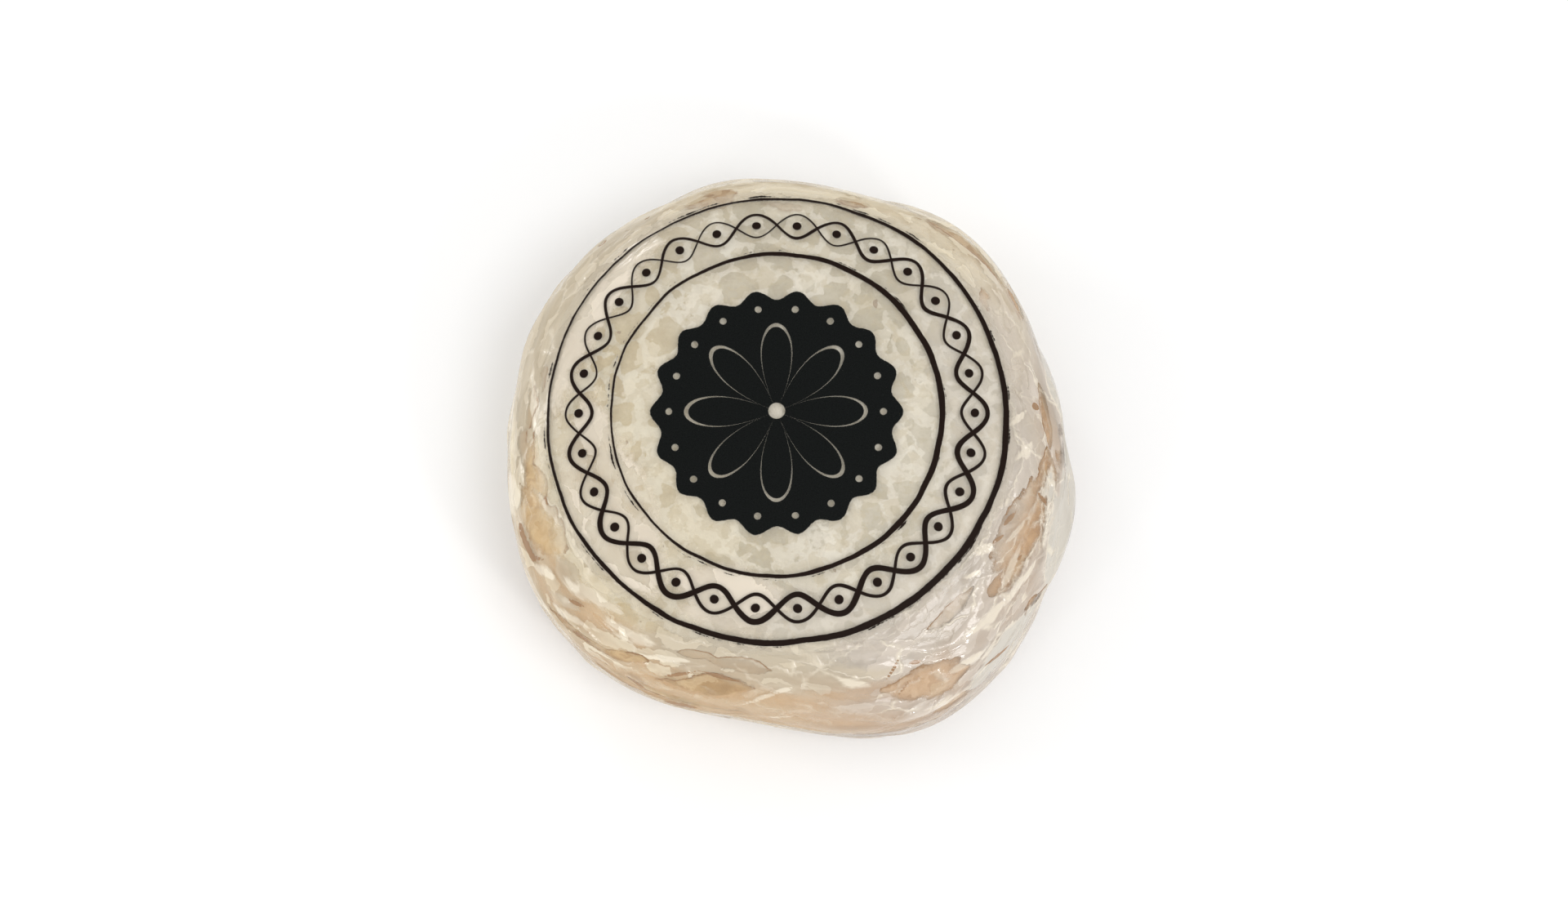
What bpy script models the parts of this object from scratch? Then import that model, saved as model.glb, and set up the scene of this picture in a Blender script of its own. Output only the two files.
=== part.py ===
"""A whole camembert wrapped tight in clear film, with a round label stuck on its top.

Two solids: the wrapped wheel (cheese and film as one shut pack) and the thin label that drapes
over the top and its shoulder. Metres, +Z up. The wheel rests on the flat of its underside at
z = 0, and the origin is under the middle of its outline. -Y is the front and +X the right side.
"""

import math

import bmesh
import bpy
import numpy as np

MM = 0.001
TINY = 1e-12

# The wheel
MEAN_RADIUS = 53.1 * MM  # at the widest level, with the film on
HEIGHT = 34.0 * MM
WIDEST_LEVEL = 15.5 * MM  # a soft cheese sags, so it is widest below its middle
TOP_SQUARENESS = 3.8  # superellipse exponents: 2 is a round edge, and more is squarer
BASE_SQUARENESS = 3.4
BASE_PRESSED = 1.0 * MM  # how much of the curved underside the table has flattened
LEAN = (-2.0 * MM, 3.0 * MM)  # how far the top has slipped back and left over the base
# The outline's waves round the wheel: lobes, rise and the azimuth of one lobe in degrees
OUTLINE_WAVES = (
    (2, 0.8 * MM, -40),
    (3, 0.85 * MM, -45),
    (4, 1.15 * MM, 39),
    (5, 0.4 * MM, 3),
    (6, 0.55 * MM, -13),
    (7, 0.4 * MM, -9),
)

# Loose film that stands off the cheese on the right: azimuth and half width in degrees, then
# how far below the widest level, half height and rise
FILM_POCKETS = (
    (-11, 13, 1.0 * MM, 12.0 * MM, 1.3 * MM),
    (-38, 20, 7.0 * MM, 10.0 * MM, 1.2 * MM),
    (13, 12, -3.0 * MM, 10.0 * MM, 1.3 * MM),
)

# Folds of the film, which run round the side where it was pulled tight
FOLD_SEED = 11
FOLD_COUNT = 32
FOLD_TURN = 137.5  # degrees from one fold to the next, which spreads them evenly
FOLD_LEVELS = (-15.0 * MM, 15.0 * MM)  # above and below the widest level, along the side
FOLD_LENGTHS = (24.0 * MM, 62.0 * MM)
FOLD_SLOPE = 0.13  # mean climb of a fold along its length
FOLD_BOW = 2.5  # how much a fold curves, per metre
FOLD_WIDTHS = (1.9 * MM, 3.4 * MM)
FOLD_RISES = (0.4 * MM, 0.95 * MM)
STEEP_SIDE = 0.45  # a fold lies over to one side, which is this much narrower

# Pleats where the film is gathered under the wheel
PLEAT_SEED = 5
PLEAT_COUNT = 22
PLEAT_DEPTHS = (0.45 * MM, 0.9 * MM)
PLEAT_SHARES = (0.5, 0.95)  # of the room that each pleat has round the wheel
PLEAT_START = 14.0 * MM  # below the widest level, along the side
PLEAT_FADE = 6.0 * MM  # over which a pleat grows to its depth
PLEAT_JITTER = 0.3  # share of a pleat's room that its middle may be off by
PLEAT_TWIST = 0.35  # radians that a pleat turns on its way to the middle

# The label
LABEL_CENTRE = (-2.4 * MM, 4.7 * MM)
LABEL_RADIUS = 44.6 * MM  # along its own paper, so before it bends over the shoulder
LABEL_THICKNESS = 0.3 * MM
LABEL_GAP = 0.3 * MM  # between the label and the film under it
FOLD_CLEARANCE = 5.0 * MM  # folds fade out over this distance from the label's edge

# Mesh sizes
WHEEL_SEGMENTS = 120
WHEEL_RINGS = 46
SIDE_DENSITY = 0.6  # how much closer the rings stand on the side than on the flats
PROFILE_SAMPLES = 4000
LABEL_SEGMENTS = 64
LABEL_RINGS = 9
SPOKE_SAMPLES = 240
SPOKE_SPARE = 1.1  # spokes run this much past the label's radius
LEAN_STEPS = 30  # rounds of solving for the height of the leaning top
NORMAL_STEP = 0.001  # radians between the points that a normal is worked out from
SLOPE_STEP = 0.1 * MM
WELD = 0.001 * MM


def clear_scene():
    for obj in list(bpy.data.objects):
        bpy.data.objects.remove(obj)


def material(name, colour, roughness):
    """A plain non-metal finish in the part's colour."""
    made = bpy.data.materials.new(name)
    made.use_nodes = True
    shader = made.node_tree.nodes["Principled BSDF"]
    shader.inputs["Base Color"].default_value = (*colour, 1)
    shader.inputs["Roughness"].default_value = roughness
    shader.inputs["Metallic"].default_value = 0
    return made


def turn_to(azimuth, degrees):
    """The turn from an azimuth given in degrees, from -pi to pi."""
    turn = azimuth - math.radians(degrees)
    return (turn + math.pi) % (2 * math.pi) - math.pi


def bump(distance):
    """A smooth hill: 1 at 0, and 0 from a distance of 1 on."""
    inside = np.clip(1 - np.square(distance), 0, 1)
    return inside * inside


def outline_radius(azimuth):
    """The mean radius plus a few cosine waves round the wheel."""
    waves = (rise * np.cos(lobes * turn_to(azimuth, at)) for lobes, rise, at in OUTLINE_WAVES)
    return MEAN_RADIUS + sum(waves)


def profile(angle):
    """Half of a superellipse, squarer above than below: (share of the radius, level)."""
    squareness = np.where(angle > 0, TOP_SQUARENESS, BASE_SQUARENESS)
    share = np.abs(np.cos(angle)) ** (2 / squareness)
    rise = np.sign(np.sin(angle)) * np.abs(np.sin(angle)) ** (2 / squareness)
    span = np.where(angle > 0, HEIGHT - WIDEST_LEVEL, WIDEST_LEVEL + BASE_PRESSED)
    return share, WIDEST_LEVEL + span * rise


def profile_table():
    """Angles down the profile from the top's middle, and the distance along it to each."""
    angle = np.linspace(math.pi / 2, -math.pi / 2, PROFILE_SAMPLES)
    share, level = profile(angle)
    step = np.hypot(np.diff(share) * MEAN_RADIUS, np.diff(level))
    return angle, np.concatenate([[0], np.cumsum(step)])


def wheel_point(azimuth, angle):
    """The smooth wheel: the profile swept round the outline, leaning, and flat underneath."""
    share, level = profile(angle)
    level = np.maximum(level, 0)
    reach = outline_radius(azimuth) * share
    slip = level / HEIGHT - 0.5
    x = reach * np.cos(azimuth) + LEAN[0] * slip
    y = reach * np.sin(azimuth) + LEAN[1] * slip
    return np.stack([x, y, level], axis=-1)


def wheel_normal(azimuth, angle):
    """The outward direction, from the cross product of two short steps on the surface."""
    ahead = wheel_point(azimuth + NORMAL_STEP, angle)
    across = ahead - wheel_point(azimuth - NORMAL_STEP, angle)
    low = np.clip(angle - NORMAL_STEP, -math.pi / 2, math.pi / 2)
    high = np.clip(angle + NORMAL_STEP, -math.pi / 2, math.pi / 2)
    up = wheel_point(azimuth, high) - wheel_point(azimuth, low)
    normal = np.cross(across, up)
    length = np.linalg.norm(normal, axis=-1, keepdims=True)
    flat = np.zeros_like(normal)
    flat[..., 2] = np.sign(angle)
    return np.where(length > TINY, normal / np.maximum(length, TINY), flat)


def fold_relief(azimuth, drop):
    """Long low ridges round the side: each has a bell section, steeper on one side, and fades
    out at both ends. drop is the distance below the widest level, along the surface."""
    draw = np.random.default_rng(FOLD_SEED)
    relief = np.zeros_like(azimuth)
    for i in range(FOLD_COUNT):
        level = draw.uniform(*FOLD_LEVELS)
        half_length = draw.uniform(*FOLD_LENGTHS) / 2
        slope = draw.normal(0, FOLD_SLOPE)
        bow = draw.normal(0, FOLD_BOW)
        width = draw.uniform(*FOLD_WIDTHS)
        rise = draw.uniform(*FOLD_RISES)
        side = draw.choice((-1, 1))
        along = MEAN_RADIUS * turn_to(azimuth, i * FOLD_TURN)
        off = drop - level - slope * along - bow * along * along
        scale = np.where(off * side > 0, width, width * STEEP_SIDE)
        relief += rise * bump(along / half_length) * np.exp(-np.square(off / scale))
    return relief


def pocket_relief(azimuth, drop):
    """Broad hills where the film is slack and stands off the cheese."""
    relief = np.zeros_like(azimuth)
    for at, half_width, below, half_height, rise in FILM_POCKETS:
        sideways = turn_to(azimuth, at) / math.radians(half_width)
        relief += rise * bump(sideways) * bump((drop - below) / half_height)
    return relief


def pleat_relief(azimuth, drop, rim_to_middle):
    """Grooves of uneven width that run from the lower shoulder in towards the middle."""
    draw = np.random.default_rng(PLEAT_SEED)
    start = np.clip((drop - PLEAT_START) / PLEAT_FADE, 0, 1)
    turned = azimuth + PLEAT_TWIST * (drop - PLEAT_START) / rim_to_middle
    relief = np.zeros_like(azimuth)
    for i in range(PLEAT_COUNT):
        centre = 360 * (i + draw.uniform(-PLEAT_JITTER, PLEAT_JITTER)) / PLEAT_COUNT
        half_width = math.pi / PLEAT_COUNT * draw.uniform(*PLEAT_SHARES)
        depth = draw.uniform(*PLEAT_DEPTHS)
        relief -= depth * bump(turn_to(turned, centre) / half_width)
    return relief * start


def clear_of_label(points):
    """0 under the label and 1 well outside it, so that the film is smooth where it sticks."""
    across = np.hypot(points[..., 0] - LABEL_CENTRE[0], points[..., 1] - LABEL_CENTRE[1])
    outside = np.clip((across - LABEL_RADIUS) / FOLD_CLEARANCE, 0, 1)
    return np.where(points[..., 2] > WIDEST_LEVEL, outside, 1)


def make_wheel(finish):
    """A UV sphere whose rings are moved to the wheel's profile, with the film's relief."""
    mesh = bpy.data.meshes.new("wrapped_cheese")
    ball = bmesh.new()
    bmesh.ops.create_uvsphere(
        ball, u_segments=WHEEL_SEGMENTS, v_segments=WHEEL_RINGS, radius=1
    )
    ball.to_mesh(mesh)
    ball.free()
    unit = np.empty(len(mesh.vertices) * 3)
    mesh.vertices.foreach_get("co", unit)
    unit = unit.reshape(-1, 3)
    azimuth = np.arctan2(unit[:, 1], unit[:, 0])
    down = np.arccos(np.clip(unit[:, 2], -1, 1)) / math.pi
    down = down + SIDE_DENSITY * np.sin(math.tau * down) / math.tau

    angles, distances = profile_table()
    widest = np.interp(0, -angles, distances)
    travelled = down * distances[-1]
    angle = np.interp(travelled, distances, angles)
    drop = travelled - widest
    points = wheel_point(azimuth, angle)
    relief = fold_relief(azimuth, drop) + pocket_relief(azimuth, drop)
    relief = relief * bump(drop / (distances[-1] / 2)) * clear_of_label(points)
    relief = relief + pleat_relief(azimuth, drop, distances[-1] - widest)
    points = points + relief[:, None] * wheel_normal(azimuth, angle)
    pressed = (angle < 0) & (profile(angle)[1] <= 0)
    points[:, 2] = np.where(pressed, 0, np.maximum(points[:, 2], 0))
    mesh.vertices.foreach_set("co", points.ravel())
    mesh.update()
    mesh.shade_smooth()
    mesh.materials.append(finish)
    return bpy.data.objects.new("wrapped_cheese", mesh)


def top_level(x, y):
    """The height of the smooth wheel's top over a point, by solving for the lean in steps."""
    level = np.full_like(x, HEIGHT)
    for _ in range(LEAN_STEPS):
        slip = level / HEIGHT - 0.5
        a = x - LEAN[0] * slip
        b = y - LEAN[1] * slip
        share = np.clip(np.hypot(a, b) / outline_radius(np.arctan2(b, a)), 0, 1)
        rise = (1 - share**TOP_SQUARENESS) ** (1 / TOP_SQUARENESS)
        level = (level + WIDEST_LEVEL + (HEIGHT - WIDEST_LEVEL) * rise) / 2
    return level


def drape_on_top(x, y):
    """Flat label points laid on the wheel: each keeps its bearing from the label's centre and
    moves in until its distance along the surface is the one that it had on the flat."""
    bearing = np.arctan2(y, x)
    wanted = np.hypot(x, y)
    out = np.linspace(0, LABEL_RADIUS * SPOKE_SPARE, SPOKE_SAMPLES)
    spoke_x = LABEL_CENTRE[0] + np.cos(bearing)[:, None] * out
    spoke_y = LABEL_CENTRE[1] + np.sin(bearing)[:, None] * out
    spoke_z = top_level(spoke_x, spoke_y)
    step = np.hypot(np.diff(out), np.diff(spoke_z, axis=1))
    travelled = np.concatenate([np.zeros((len(x), 1)), np.cumsum(step, axis=1)], axis=1)
    reach = np.array([np.interp(w, t, out) for w, t in zip(wanted, travelled)])
    laid_x = LABEL_CENTRE[0] + np.cos(bearing) * reach
    laid_y = LABEL_CENTRE[1] + np.sin(bearing) * reach
    return laid_x, laid_y


def lift_off_top(x, y, gap):
    """Points on the wheel's top at x, y, moved out along its normal by the gap."""
    level = top_level(x, y)
    right, left = top_level(x + SLOPE_STEP, y), top_level(x - SLOPE_STEP, y)
    back, front = top_level(x, y + SLOPE_STEP), top_level(x, y - SLOPE_STEP)
    slope_x = (right - left) / (2 * SLOPE_STEP)
    slope_y = (back - front) / (2 * SLOPE_STEP)
    normal = np.stack([-slope_x, -slope_y, np.ones_like(x)], axis=-1)
    normal /= np.linalg.norm(normal, axis=-1, keepdims=True)
    return np.stack([x, y, level], axis=-1) + gap * normal


def make_label(finish):
    """A flat disc of rings, spun from one radius, draped over the top and given a thickness."""
    mesh = bpy.data.meshes.new("label")
    disc = bmesh.new()
    radii = np.linspace(0, LABEL_RADIUS, LABEL_RINGS)
    corners = [disc.verts.new((radius, 0, 0)) for radius in radii]
    edges = [disc.edges.new(pair) for pair in zip(corners, corners[1:])]
    bmesh.ops.spin(
        disc,
        geom=corners + edges,
        axis=(0, 0, 1),
        cent=(0, 0, 0),
        angle=math.tau,
        steps=LABEL_SEGMENTS,
    )
    bmesh.ops.remove_doubles(disc, verts=disc.verts, dist=WELD)
    bmesh.ops.recalc_face_normals(disc, faces=disc.faces)
    disc.faces.ensure_lookup_table()
    if disc.faces[0].normal.z < 0:
        bmesh.ops.reverse_faces(disc, faces=disc.faces)
    disc.to_mesh(mesh)
    disc.free()
    flat = np.empty(len(mesh.vertices) * 3)
    mesh.vertices.foreach_get("co", flat)
    flat = flat.reshape(-1, 3)
    laid_x, laid_y = drape_on_top(flat[:, 0], flat[:, 1])
    mesh.vertices.foreach_set("co", lift_off_top(laid_x, laid_y, LABEL_GAP).ravel())
    mesh.update()
    mesh.shade_smooth()
    mesh.materials.append(finish)
    label = bpy.data.objects.new("label", mesh)
    skin = label.modifiers.new("Thickness", "SOLIDIFY")
    skin.thickness = LABEL_THICKNESS
    skin.offset = 1
    return label


def outline_middle(obj):
    """The middle of an object's box, seen from above."""
    points = np.empty(len(obj.data.vertices) * 3)
    obj.data.vertices.foreach_get("co", points)
    points = points.reshape(-1, 3)
    return (points.min(axis=0) + points.max(axis=0))[:2] / 2


def main():
    clear_scene()
    parts = bpy.data.collections.new("camembert")
    bpy.context.scene.collection.children.link(parts)
    film = material("film_over_rind", (0.62, 0.53, 0.42), 0.35)
    paper = material("label_paper", (0.66, 0.62, 0.52), 0.5)
    wheel = make_wheel(film)
    label = make_label(paper)
    middle = outline_middle(wheel)
    foot = bpy.data.objects.new("foot", None)
    foot.location = (-middle[0], -middle[1], 0)
    for obj in (foot, wheel, label):
        parts.objects.link(obj)
    for obj in (wheel, label):
        obj.parent = foot


main()
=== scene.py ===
# %% [markdown]
# # A camembert wrapped in clear film
#
# The object is a soft cheese the size of a hand, pulled tight into cling film, with a round
# printed label stuck on top. Three things make its look, and each gets a piece of its own: the
# mottled rind, the wrinkled film that hides and shows it by turns, and the translucent label.
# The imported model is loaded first. It fixes every size and place, and nothing in it is moved.

import itertools
import math

import bpy
import numpy as np
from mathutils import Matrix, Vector


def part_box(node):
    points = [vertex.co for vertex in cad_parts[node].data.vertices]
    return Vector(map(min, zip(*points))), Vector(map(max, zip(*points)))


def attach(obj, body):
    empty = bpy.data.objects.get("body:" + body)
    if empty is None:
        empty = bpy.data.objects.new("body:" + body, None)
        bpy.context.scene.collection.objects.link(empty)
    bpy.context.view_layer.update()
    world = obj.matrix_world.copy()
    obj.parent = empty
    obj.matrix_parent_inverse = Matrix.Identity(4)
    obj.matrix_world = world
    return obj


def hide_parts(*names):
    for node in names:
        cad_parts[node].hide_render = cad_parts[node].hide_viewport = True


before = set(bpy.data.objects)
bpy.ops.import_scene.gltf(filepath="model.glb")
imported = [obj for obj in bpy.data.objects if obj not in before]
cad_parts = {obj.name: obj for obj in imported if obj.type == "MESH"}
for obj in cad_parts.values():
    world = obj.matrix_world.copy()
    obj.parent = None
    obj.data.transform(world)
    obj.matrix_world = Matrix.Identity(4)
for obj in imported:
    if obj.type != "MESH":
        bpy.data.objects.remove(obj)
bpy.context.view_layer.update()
MM = 0.001
wheel_low, wheel_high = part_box("wrapped_cheese")
print("packed wheel, mm:", [round(side / MM, 1) for side in wheel_high - wheel_low])

# %% [markdown]
# ## The shape of the wheel
#
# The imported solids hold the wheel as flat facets, too coarse for film. They came from a formula,
# so the same formula with the same sizes is used again on finer grids: a superellipse, which is
# a square with very round corners, swept round an uneven outline, leaning a little, and pressed
# flat where it rests. A mesh could also be subdivided, but then the folds would only get
# rounder, while a formula gives real detail at any fineness.

# %% Sizes of the wheel
MEAN_RADIUS = 53.1 * MM
HEIGHT = wheel_high.z
WIDEST_LEVEL = 15.5 * MM
TOP_SQUARENESS = 3.8
BASE_SQUARENESS = 3.4
BASE_PRESSED = 1.0 * MM
LEAN = (-2.0 * MM, 3.0 * MM)
OUTLINE_WAVES = (
    (2, 0.8 * MM, -40),
    (3, 0.85 * MM, -45),
    (4, 1.15 * MM, 39),
    (5, 0.4 * MM, 3),
    (6, 0.55 * MM, -13),
    (7, 0.4 * MM, -9),
)
MIDDLE = np.array([-0.385 * MM, -0.528 * MM, 0])  # brings the outline's middle over the origin
print("the cheese is", round(HEIGHT / MM, 1), "mm high, widest at", WIDEST_LEVEL / MM, "mm")

# %% [markdown]
# A point on the wheel comes from two numbers: its azimuth, which is how far round it lies, and
# its profile angle, from a right angle at the middle of the top, through 0 at the widest circle,
# to minus a right angle at the middle of the base.

# %% Outline and profile of the wheel


def turn_to(azimuth, degrees):
    """The turn from an azimuth given in degrees, brought into -pi to pi."""
    return (azimuth - math.radians(degrees) + math.pi) % math.tau - math.pi


def bump(distance):
    """A smooth hill: (1 - d squared) squared, which is 1 at 0, and 0 from a distance of 1 on."""
    return np.square(np.clip(1 - np.square(distance), 0, 1))


def outline_radius(azimuth):
    """The mean radius plus a few cosine waves round the wheel."""
    waves = (rise * np.cos(lobes * turn_to(azimuth, at)) for lobes, rise, at in OUTLINE_WAVES)
    return MEAN_RADIUS + sum(waves)


def profile(angle):
    """Half of a superellipse: the radius goes with cos to the power 2 / n, the level with sin."""
    squareness = np.where(angle > 0, TOP_SQUARENESS, BASE_SQUARENESS)
    share = np.abs(np.cos(angle)) ** (2 / squareness)
    rise = np.sign(np.sin(angle)) * np.abs(np.sin(angle)) ** (2 / squareness)
    span = np.where(angle > 0, HEIGHT - WIDEST_LEVEL, WIDEST_LEVEL + BASE_PRESSED)
    return share, WIDEST_LEVEL + span * rise


outline = outline_radius(np.linspace(-math.pi, math.pi, 360)) / MM
print("its outline's radius runs from", outline.min().round(1), "to", outline.max().round(1), "mm")

# %% Points and normals of the wheel
NORMAL_STEP = 0.001
TINY = 1e-12


def wheel_point(azimuth, angle):
    """Radius times share in the azimuth's direction, plus the lean times the level's share."""
    share, level = profile(angle)
    level = np.maximum(level, 0)
    reach = outline_radius(azimuth) * share
    slip = level / HEIGHT - 0.5
    x = reach * np.cos(azimuth) + LEAN[0] * slip
    y = reach * np.sin(azimuth) + LEAN[1] * slip
    return np.stack([x, y, level], axis=-1)


def wheel_normal(azimuth, angle):
    """The cross product of two short steps on the surface, one round it and one up it."""
    across = wheel_point(azimuth + NORMAL_STEP, angle) - wheel_point(azimuth - NORMAL_STEP, angle)
    low = np.clip(angle - NORMAL_STEP, -math.pi / 2, math.pi / 2)
    high = np.clip(angle + NORMAL_STEP, -math.pi / 2, math.pi / 2)
    normal = np.cross(across, wheel_point(azimuth, high) - wheel_point(azimuth, low))
    length = np.linalg.norm(normal, axis=-1, keepdims=True)
    straight = np.zeros_like(normal)
    straight[..., 2] = np.sign(angle)
    return np.where(length > TINY, normal / np.maximum(length, TINY), straight)


# %% [markdown]
# Folds, windows and the label are placed by distance over the surface, as with a tape measure.
# So the profile is walked once in short steps, and the way walked is kept in a table.

# %% Distances down the profile
PROFILE_ANGLES = np.linspace(math.pi / 2, -math.pi / 2, 4000)
shares, levels = profile(PROFILE_ANGLES)
PROFILE_WAY = np.concatenate(
    [[0], np.cumsum(np.hypot(np.diff(shares) * MEAN_RADIUS, np.diff(levels)))]
)
WIDEST_WAY = np.interp(0, -PROFILE_ANGLES, PROFILE_WAY)
LAST_WAY = PROFILE_WAY[-1]
print("from the top's middle to the widest level, mm:", round(WIDEST_WAY / MM, 1))
print("from there to the middle of the base, mm:", round((LAST_WAY - WIDEST_WAY) / MM, 1))

# %% [markdown]
# ## Grids of rings
#
# Film and rind are both shut skins round the same wheel, so both are rings of points from the
# middle of the top down to the middle of the base. Rings stand close where detail shows, at the
# shoulder and the side, and far apart where there is none. The number of rings is fixed, and
# each is put where the running total of "rings wanted per millimetre" reaches its number.

# %% Rings of points
WAY_STEPS = 3000


def ring_ways(count, spacing):
    """Distances down the profile whose steps follow spacing, a function of that distance."""
    way = np.linspace(0, LAST_WAY, WAY_STEPS)
    wanted = 1 / spacing(way)
    total = np.concatenate([[0], np.cumsum((wanted[1:] + wanted[:-1]) / 2)])
    return np.interp(np.linspace(0, total[-1], count), total, way)


def wheel_grid(columns, ways):
    """Azimuth, profile angle and drop below the widest level for each point of each ring."""
    azimuth = np.linspace(-math.pi, math.pi, columns, endpoint=False)
    azimuth, way = np.meshgrid(azimuth, ways)
    return azimuth, np.interp(way, PROFILE_WAY, PROFILE_ANGLES), way - WIDEST_WAY


# %% Skins with closed poles


def shut_skin(name, rings):
    """A closed mesh from rings of points, top ring first: the first and last rings shrink to
    their means, which are the poles, with quads between rings and a fan at each pole."""
    poles = rings[[0, -1]].mean(axis=1)
    rings = rings[1:-1]
    rows, columns = rings.shape[:2]
    here = 1 + np.arange(rows * columns).reshape(rows, columns)
    right = np.roll(here, -1, axis=1)
    quads = np.stack([here[:-1], here[1:], right[1:], right[:-1]], axis=-1).reshape(-1, 4)
    cap = np.stack([np.zeros(columns, int), here[0], right[0]], axis=-1)
    foot = np.stack([np.full(columns, rows * columns + 1), right[-1], here[-1]], axis=-1)
    points = np.concatenate([poles[:1], rings.reshape(-1, 3), poles[1:]])
    mesh = bpy.data.meshes.new(name)
    mesh.from_pydata(points.tolist(), [], cap.tolist() + quads.tolist() + foot.tolist())
    mesh.shade_smooth()
    made = bpy.data.objects.new(name, mesh)
    bpy.context.scene.collection.objects.link(made)
    print(name, "has", 2 * len(quads) + 2 * columns, "triangles")
    return made


# %% [markdown]
# The points of a skin also carry numbers of their own, such as how deep inside a window they
# lie. The material reads them back by name, so shape and colour follow one pattern.

# %% Fields on a skin


def add_field(made, name, rings):
    """Stores a number or a vector for each point of the rings, for the material to read."""
    poles = rings[[0, -1]].mean(axis=1)
    inner = rings[1:-1].reshape((-1,) + rings.shape[2:])
    values = np.concatenate([poles[:1], inner, poles[1:]])
    kind = ("FLOAT", "value") if values.ndim == 1 else ("FLOAT_VECTOR", "vector")
    field = made.data.attributes.new(name, kind[0], "POINT")
    field.data.foreach_set(kind[1], values.astype(np.float32).ravel())


# %% [markdown]
# ## Natural patterns from numbers
#
# Mould grows in islands and film crumples at random, yet each has a typical size. Two classic
# patterns cover both. Value noise puts a random number on each corner of a lattice and blends
# between them. Cellular noise scatters seeds, one to a lattice cell, and measures the distance
# to the nearest two: where those are almost equal is the border between two cells.

# %% Value noise
TABLE = 32  # the lattice repeats after this many cells


def lattice_noise(points, cell, seed):
    """Random numbers at lattice corners, blended by 3t squared minus 2t cubed: 0 to 1."""
    table = np.random.default_rng(seed).random((TABLE, TABLE, TABLE))
    place = points / cell
    corner = np.floor(place).astype(int)
    part = place - corner
    part = part * part * (3 - 2 * part)
    total = np.zeros(points.shape[:-1])
    for step in itertools.product((0, 1), repeat=3):
        weight = np.prod(np.where(step, part, 1 - part), axis=-1)
        x, y, z = np.moveaxis((corner + step) % TABLE, -1, 0)
        total += weight * table[x, y, z]
    return total


def layered_noise(points, cell, seed, layers=3):
    """A sum of noises, each half the size and half the strength of the one before: 0 to 1."""
    strengths = 0.5 ** np.arange(layers)
    parts = (lattice_noise(points, cell * s, seed + i) * s for i, s in enumerate(strengths))
    return sum(parts) / strengths.sum()


trial = layered_noise(np.linspace(0, 1, 900).reshape(300, 3), 0.01, seed=1)
print("layered noise runs from", trial.min().round(2), "to", trial.max().round(2))

# %% Cellular noise


def cell_noise(points, cell, seed):
    """Distance to the border between the nearest two seeds, about (d2 - d1) / 2, and a random
    number of the nearest seed's own."""
    table = np.random.default_rng(seed).random((TABLE, TABLE, TABLE, 4))
    home = np.floor(points / cell).astype(int)
    first = np.full(points.shape[:-1], np.inf)
    second = first.copy()
    own = np.zeros_like(first)
    for step in itertools.product((-1, 0, 1), repeat=3):
        corner = home + step
        x, y, z = np.moveaxis(corner % TABLE, -1, 0)
        draw = table[x, y, z]
        away = np.linalg.norm(points - (corner + draw[..., :3]) * cell, axis=-1)
        nearer = away < first
        second = np.where(nearer, first, np.minimum(second, away))
        own = np.where(nearer, draw[..., 3], own)
        first = np.where(nearer, away, first)
    return (second - first) / 2, own


# %% A soft step


def soft_step(value, low, high):
    """0 below low, 1 above high, and 3t squared minus 2t cubed between them."""
    t = np.clip((value - low) / (high - low), 0, 1)
    return t * t * (3 - 2 * t)


# %% [markdown]
# ## Writing a material as sums
#
# A material is a graph of nodes. Wired by hand in code, every plus sign takes four lines, and
# nobody can read it back. Here one small class wraps a node's output so that Python's own
# operators add the Math nodes, and one method adds any other node. The recipe of a finish then
# reads like the sentence that describes it.

# %% Sockets that can be added and multiplied


class Wire:
    """A node's output in an expression. Each operator adds one Math node."""

    def __init__(self, finish, socket):
        self.finish = finish
        self.socket = socket

    def __add__(self, other):
        return maths("ADD", self, other)

    def __sub__(self, other):
        return maths("SUBTRACT", self, other)

    def __rsub__(self, other):
        return maths("SUBTRACT", other, self)

    def __mul__(self, other):
        return maths("MULTIPLY", self, other)

    def __truediv__(self, other):
        return maths("DIVIDE", self, other)

    def __rtruediv__(self, other):
        return maths("DIVIDE", other, self)

    def __pow__(self, power):
        return maths("POWER", self, power)

    def __abs__(self):
        return maths("ABSOLUTE", self)

    __radd__ = __add__
    __rmul__ = __mul__


def maths(operation, *values):
    """One Math node, in the finish of the first wire among its values."""
    wire = next(value for value in values if isinstance(value, Wire))
    return wire.finish.node("ShaderNodeMath", {"operation": operation}, values)


# %% A finish under construction


class Finish:
    """A material, its nodes and its main shader, whose constants are set once."""

    def __init__(self, name, **fixed):
        self.material = bpy.data.materials.new(name)
        self.material.use_nodes = True
        self.nodes = self.material.node_tree.nodes
        self.links = self.material.node_tree.links
        self.shader = self.nodes["Principled BSDF"]
        for socket, value in fixed.items():
            self.shader.inputs[socket.replace("_", " ")].default_value = value

    def node(self, kind, settings, values, output=0):
        """Adds a node, sets its settings, then its sockets by place or by name."""
        made = self.nodes.new(kind)
        for setting, value in settings.items():
            setattr(made, setting, value)
        named = values.items() if isinstance(values, dict) else enumerate(values)
        for socket, value in named:
            if isinstance(value, Wire):
                self.links.new(value.socket, made.inputs[socket])
            else:
                made.inputs[socket].default_value = value
        return Wire(self, made.outputs[output])

    def feed(self, **values):
        """Links what changes over the surface into the shader."""
        for socket, value in values.items():
            self.links.new(value.socket, self.shader.inputs[socket.replace("_", " ")])

    def field(self, name, output="Fac"):
        """A field stored on the skin: its number, or its vector."""
        return self.node("ShaderNodeAttribute", {"attribute_name": name}, (), output)

    def place(self):
        """Where a point lies, in metres from the object's origin."""
        return self.node("ShaderNodeTexCoord", {}, (), "Object")

    def report(self):
        print("the finish of the", self.material.name, "has", len(self.nodes), "nodes so far")


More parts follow.
